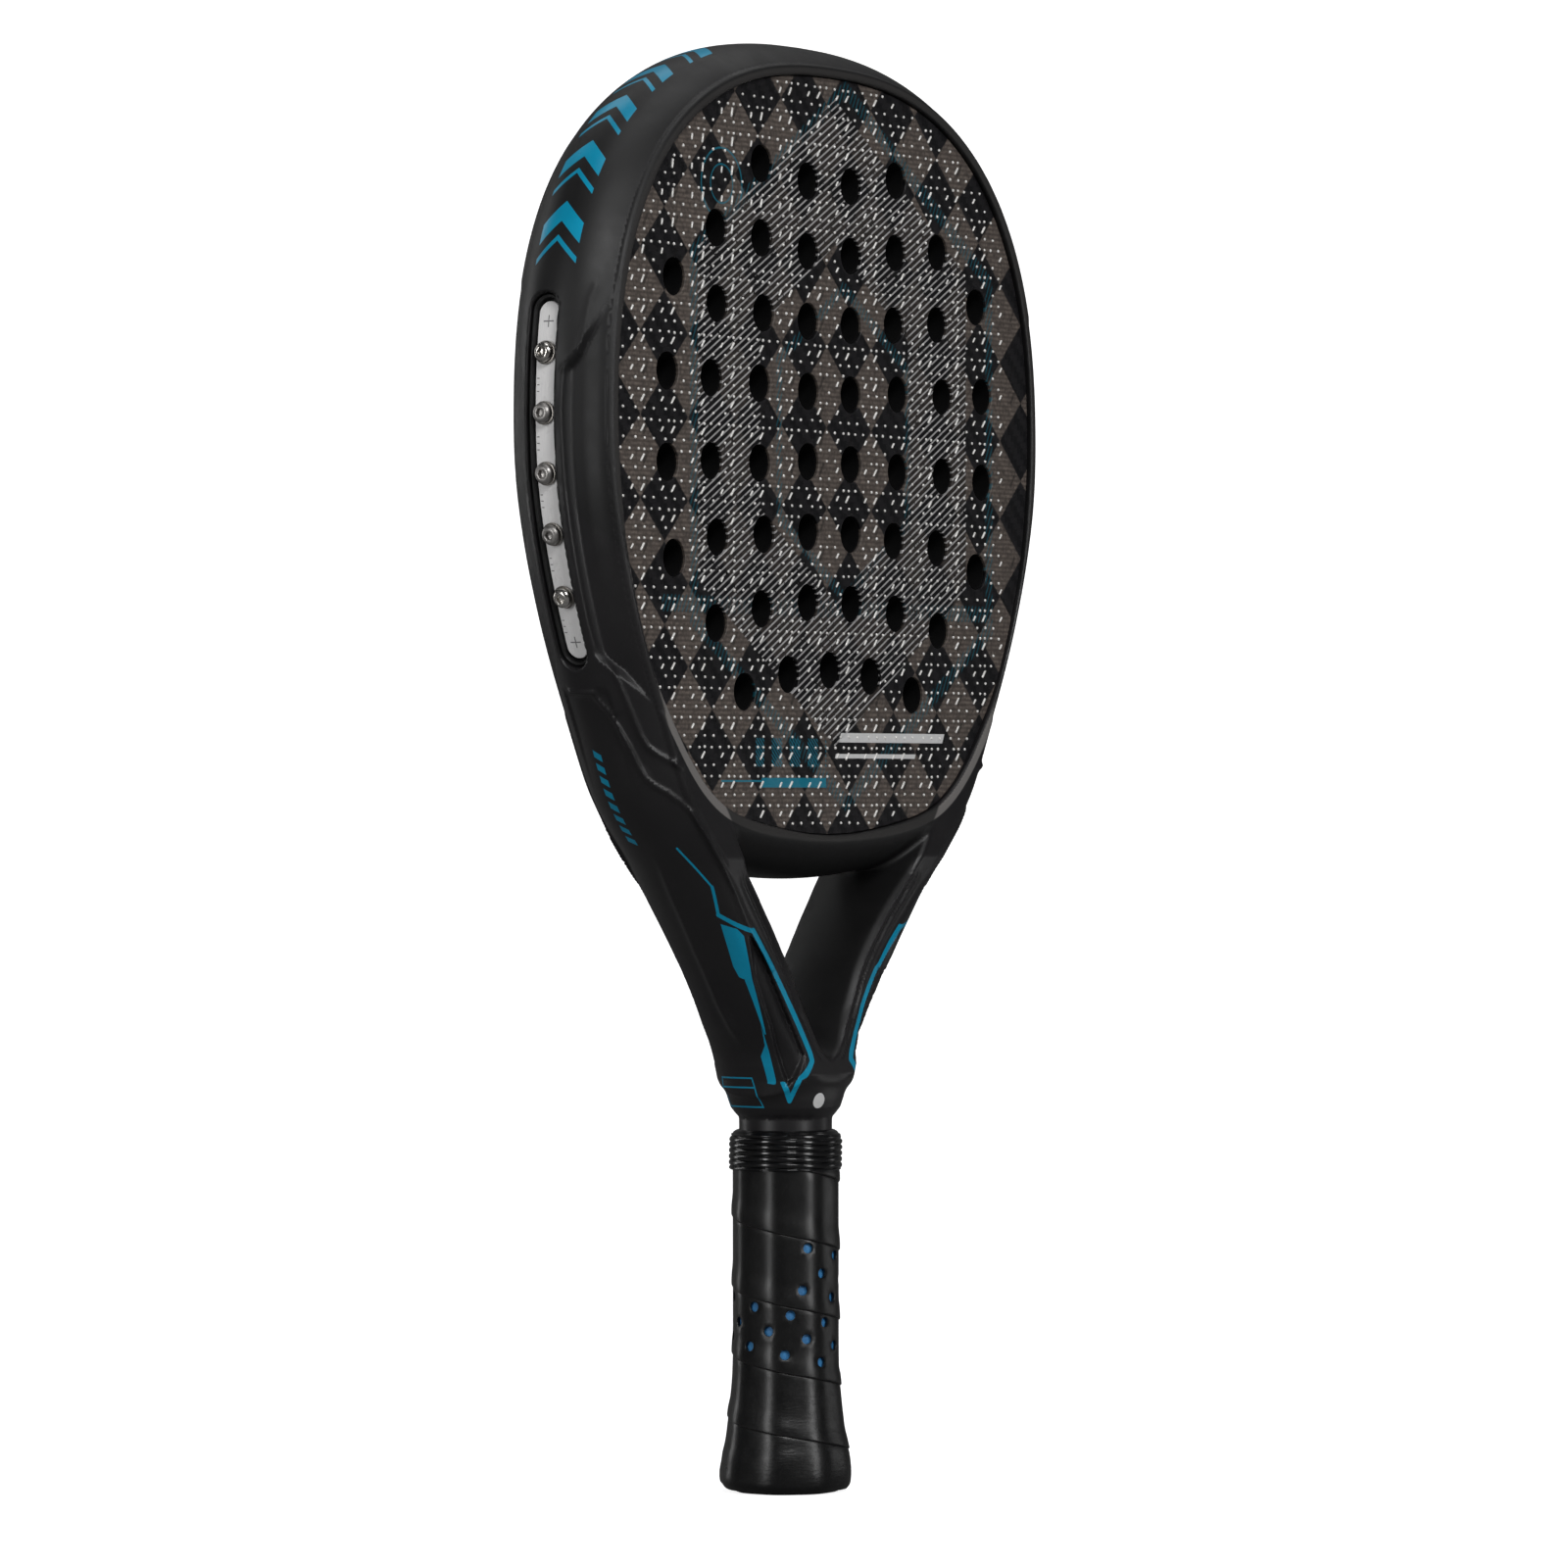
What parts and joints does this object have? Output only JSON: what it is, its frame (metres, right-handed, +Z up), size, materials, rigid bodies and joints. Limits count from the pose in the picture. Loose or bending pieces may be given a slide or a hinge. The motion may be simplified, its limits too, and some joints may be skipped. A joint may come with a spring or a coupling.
{
  "type": "padel racket",
  "caption": "Padel racket: moulded frame with open throat, foam-cored perforated face between two skins, screw-fixed weight rail in each side and wrapped handle.",
  "frame": {"origin": "centre of the butt end's flat face", "axes": "+Z up along the handle to the top of the head, +X across the face to the racket's right seen from the front, -Y out of the front face"},
  "size_m": [0.26, 0.0404, 0.455],
  "materials": {
    "composite": "satin charcoal lacquer over a carbon and glass fibre composite, fine speckle",
    "core_foam": "dark closed-cell foam",
    "face_laminate": "carbon laminate printed with a brown-grey and black diamond lattice, raised dots",
    "black_plastic": "fine-grained moulded black plastic",
    "rail_aluminium": "fine brushed, clear anodised",
    "brass": "turned",
    "screw_steel": "satin nickel-plated steel",
    "grip_wrap": "perforated polyurethane overgrip, slightly glossy",
    "base_cushion": "blue polyurethane cushion, matt",
    "pallet_foam": "rigid polyurethane foam",
    "cap_plastic": "moulded black plastic",
    "collar_rubber": "glossy ribbed rubber",
    "tape": "adhesive tape, satin"
  },
  "bodies": {
    "racket": {"frame": "composite", "foam_core": "core_foam", "front_face_skin": "face_laminate", "rear_face_skin": "face_laminate", "rail_tray_left": "black_plastic", "weight_rail_left": "rail_aluminium", "threaded_insert_left_1": "brass", "threaded_insert_left_2": "brass", "threaded_insert_left_3": "brass", "threaded_insert_left_4": "brass", "threaded_insert_left_5": "brass", "rail_tray_right": "black_plastic", "weight_rail_right": "rail_aluminium", "threaded_insert_right_1": "brass", "threaded_insert_right_2": "brass", "threaded_insert_right_3": "brass", "threaded_insert_right_4": "brass", "threaded_insert_right_5": "brass", "overgrip": "grip_wrap", "base_grip": "base_cushion", "handle_pallet_front": "pallet_foam", "handle_pallet_rear": "pallet_foam", "butt_cap": "cap_plastic", "throat_collar": "collar_rubber", "finishing_tape": "tape"},
    "washer_left_1": {"weight_washer_left_1": "screw_steel"},
    "screw_left_1": {"weight_screw_left_1": "screw_steel"},
    "washer_left_2": {"weight_washer_left_2": "screw_steel"},
    "screw_left_2": {"weight_screw_left_2": "screw_steel"},
    "washer_left_3": {"weight_washer_left_3": "screw_steel"},
    "screw_left_3": {"weight_screw_left_3": "screw_steel"},
    "washer_left_4": {"weight_washer_left_4": "screw_steel"},
    "screw_left_4": {"weight_screw_left_4": "screw_steel"},
    "washer_left_5": {"weight_washer_left_5": "screw_steel"},
    "screw_left_5": {"weight_screw_left_5": "screw_steel"},
    "washer_right_1": {"weight_washer_right_1": "screw_steel"},
    "screw_right_1": {"weight_screw_right_1": "screw_steel"},
    "washer_right_2": {"weight_washer_right_2": "screw_steel"},
    "screw_right_2": {"weight_screw_right_2": "screw_steel"},
    "washer_right_3": {"weight_washer_right_3": "screw_steel"},
    "screw_right_3": {"weight_screw_right_3": "screw_steel"},
    "washer_right_4": {"weight_washer_right_4": "screw_steel"},
    "screw_right_4": {"weight_screw_right_4": "screw_steel"},
    "washer_right_5": {"weight_washer_right_5": "screw_steel"},
    "screw_right_5": {"weight_screw_right_5": "screw_steel"}
  },
  "joints": [
    {"name": "washer_left_1_lift", "type": "slide", "parent": "racket", "child": "washer_left_1", "axis": [-0.9967, 0, 0.0813], "range_m": [0, 0.004]},
    {"name": "screw_left_1_turn", "type": "hinge", "parent": "washer_left_1", "child": "screw_left_1", "pos_m": [-0.12552, 0.0018, 0.35239], "axis": [-0.9967, 0, 0.0813], "range_deg": [0, 2880]},
    {"name": "washer_left_2_lift", "type": "slide", "parent": "racket", "child": "washer_left_2", "axis": [-1, 0, 0.0031], "range_m": [0, 0.004]},
    {"name": "screw_left_2_turn", "type": "hinge", "parent": "washer_left_2", "child": "screw_left_2", "pos_m": [-0.1262, 0.0018, 0.33419], "axis": [-1, 0, 0.0031], "range_deg": [0, 2880]},
    {"name": "washer_left_3_lift", "type": "slide", "parent": "racket", "child": "washer_left_3", "axis": [-0.9935, 0, -0.1138], "range_m": [0, 0.004]},
    {"name": "screw_left_3_turn", "type": "hinge", "parent": "washer_left_3", "child": "screw_left_3", "pos_m": [-0.12525, 0.0018, 0.31603], "axis": [-0.9935, 0, -0.1138], "range_deg": [0, 2880]},
    {"name": "washer_left_4_lift", "type": "slide", "parent": "racket", "child": "washer_left_4", "axis": [-0.9692, 0, -0.2462], "range_m": [0, 0.004]},
    {"name": "screw_left_4_turn", "type": "hinge", "parent": "washer_left_4", "child": "screw_left_4", "pos_m": [-0.12172, 0.0018, 0.29794], "axis": [-0.9692, 0, -0.2462], "range_deg": [0, 2880]},
    {"name": "washer_left_5_lift", "type": "slide", "parent": "racket", "child": "washer_left_5", "axis": [-0.9414, 0, -0.3373], "range_m": [0, 0.004]},
    {"name": "screw_left_5_turn", "type": "hinge", "parent": "washer_left_5", "child": "screw_left_5", "pos_m": [-0.11593, 0.0018, 0.27918], "axis": [-0.9414, 0, -0.3373], "range_deg": [0, 2880]},
    {"name": "washer_right_1_lift", "type": "slide", "parent": "racket", "child": "washer_right_1", "axis": [0.9967, 0, 0.0813], "range_m": [0, 0.004]},
    {"name": "screw_right_1_turn", "type": "hinge", "parent": "washer_right_1", "child": "screw_right_1", "pos_m": [0.12552, 0.0018, 0.35239], "axis": [0.9967, 0, 0.0813], "range_deg": [0, 2880]},
    {"name": "washer_right_2_lift", "type": "slide", "parent": "racket", "child": "washer_right_2", "axis": [1, 0, 0.0031], "range_m": [0, 0.004]},
    {"name": "screw_right_2_turn", "type": "hinge", "parent": "washer_right_2", "child": "screw_right_2", "pos_m": [0.1262, 0.0018, 0.33419], "axis": [1, 0, 0.0031], "range_deg": [0, 2880]},
    {"name": "washer_right_3_lift", "type": "slide", "parent": "racket", "child": "washer_right_3", "axis": [0.9935, 0, -0.1138], "range_m": [0, 0.004]},
    {"name": "screw_right_3_turn", "type": "hinge", "parent": "washer_right_3", "child": "screw_right_3", "pos_m": [0.12525, 0.0018, 0.31603], "axis": [0.9935, 0, -0.1138], "range_deg": [0, 2880]},
    {"name": "washer_right_4_lift", "type": "slide", "parent": "racket", "child": "washer_right_4", "axis": [0.9692, 0, -0.2462], "range_m": [0, 0.004]},
    {"name": "screw_right_4_turn", "type": "hinge", "parent": "washer_right_4", "child": "screw_right_4", "pos_m": [0.12172, 0.0018, 0.29794], "axis": [0.9692, 0, -0.2462], "range_deg": [0, 2880]},
    {"name": "washer_right_5_lift", "type": "slide", "parent": "racket", "child": "washer_right_5", "axis": [0.9414, 0, -0.3373], "range_m": [0, 0.004]},
    {"name": "screw_right_5_turn", "type": "hinge", "parent": "washer_right_5", "child": "screw_right_5", "pos_m": [0.11593, 0.0018, 0.27918], "axis": [0.9414, 0, -0.3373], "range_deg": [0, 2880]}
  ],
  "couplings": [
    {"joint": "screw_left_1_turn", "follows": "washer_left_1_lift", "rad_per_m": 12566},
    {"joint": "screw_left_2_turn", "follows": "washer_left_2_lift", "rad_per_m": 12566},
    {"joint": "screw_left_3_turn", "follows": "washer_left_3_lift", "rad_per_m": 12566},
    {"joint": "screw_left_4_turn", "follows": "washer_left_4_lift", "rad_per_m": 12566},
    {"joint": "screw_left_5_turn", "follows": "washer_left_5_lift", "rad_per_m": 12566},
    {"joint": "screw_right_1_turn", "follows": "washer_right_1_lift", "rad_per_m": 12566},
    {"joint": "screw_right_2_turn", "follows": "washer_right_2_lift", "rad_per_m": 12566},
    {"joint": "screw_right_3_turn", "follows": "washer_right_3_lift", "rad_per_m": 12566},
    {"joint": "screw_right_4_turn", "follows": "washer_right_4_lift", "rad_per_m": 12566},
    {"joint": "screw_right_5_turn", "follows": "washer_right_5_lift", "rad_per_m": 12566}
  ]
}
